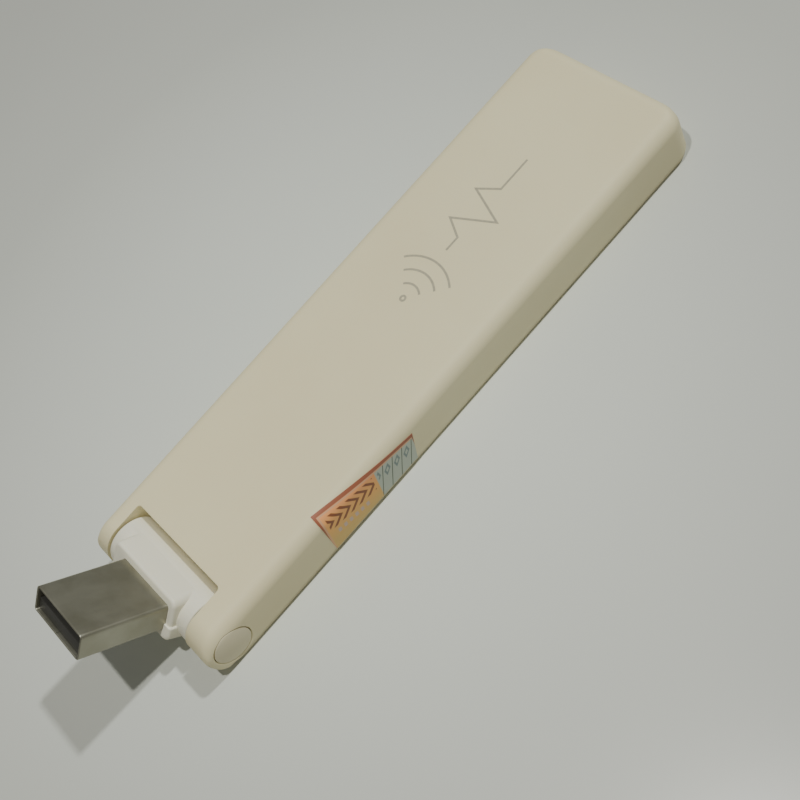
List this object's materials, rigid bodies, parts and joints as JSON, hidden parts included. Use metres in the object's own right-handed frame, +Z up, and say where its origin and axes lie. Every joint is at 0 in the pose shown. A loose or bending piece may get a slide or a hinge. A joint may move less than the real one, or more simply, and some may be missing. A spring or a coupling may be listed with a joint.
{
  "type": "usb wifi adapter",
  "caption": "Slim bar-shaped USB Wi-Fi adapter or range extender: flat cream casing with a swivelling USB-A plug held in a fork at one end.",
  "frame": {"origin": "centre of the bounding box's footprint, on the surface the casing lies on", "axes": "+X along the casing towards its free end, +Y to the left side, +Z up out of the top face; the plug is at -X"},
  "size_m": [0.116, 0.0301, 0.0204],
  "materials": {
    "cream_cover": "satin warm ivory moulding, very fine texture",
    "cream_back": "satin warm ivory moulding",
    "white_hinge": "satin off-white moulding",
    "plug_metal": "nickel-plated sheet steel, slightly dulled",
    "insulator_dark": "satin dark grey",
    "plunger_white": "satin white",
    "contact_gold": "gold-plated",
    "core_insulation": "satin",
    "lead_jacket": "matte",
    "solder": "bright solder",
    "board_green": "green solder mask",
    "board_copper": "copper under a thin mask",
    "chip_black": "moulded epoxy",
    "tinned_steel": "tinned sheet steel",
    "spring_steel": "spring steel",
    "thermal_gum": "soft grey-blue pad",
    "ferrite": "ferrite block",
    "capacitor_ceramic": "fired ceramic with tinned ends",
    "led_lens": "clear diffused",
    "switch_black": "satin",
    "sticker_film": "thin printed film"
  },
  "bodies": {
    "casing": {"top_cover": "cream_cover", "back_plate": "cream_back", "pivot_pin_left": "cream_cover", "pivot_pin_right": "cream_cover", "friction_washer": "spring_steel", "main_board": "board_green", "lead_cable": "lead_jacket", "lead_cores": "core_insulation", "solder_pads": "solder", "main_chip": "chip_black", "flash_chip": "chip_black", "crystal": "tinned_steel", "radio_amplifiers": "chip_black", "shield_frame": "tinned_steel", "shield_lid": "tinned_steel", "thermal_pad": "thermal_gum", "power_converter": "chip_black", "power_inductor": "ferrite", "capacitors": "capacitor_ceramic", "resistors": "chip_black", "status_led": "led_lens", "antenna_left": "board_copper", "antenna_right": "board_copper", "reset_switch": "switch_black", "edge_sticker": "sticker_film"},
    "plug": {"hinge_half_upper": "white_hinge", "hinge_half_lower": "white_hinge", "plug_shell": "plug_metal", "plug_insulator": "insulator_dark", "contact_power": "contact_gold", "contact_data_minus": "contact_gold", "contact_data_plus": "contact_gold", "contact_ground": "contact_gold", "plug_cores": "core_insulation"},
    "reset": {"reset_plunger": "plunger_white"}
  },
  "joints": [
    {"name": "plug_hinge", "type": "hinge", "parent": "casing", "child": "plug", "pos_m": [-0.04327, 0, 0.0046], "axis": [0, 1, 0], "range_deg": [-137.5, 42.5]},
    {"name": "reset_press", "type": "slide", "parent": "casing", "child": "reset", "axis": [0, 0, 1], "range_m": [0, 0.00025], "stiffness_N_per_m": 400, "springref_m": -0.0003}
  ]
}
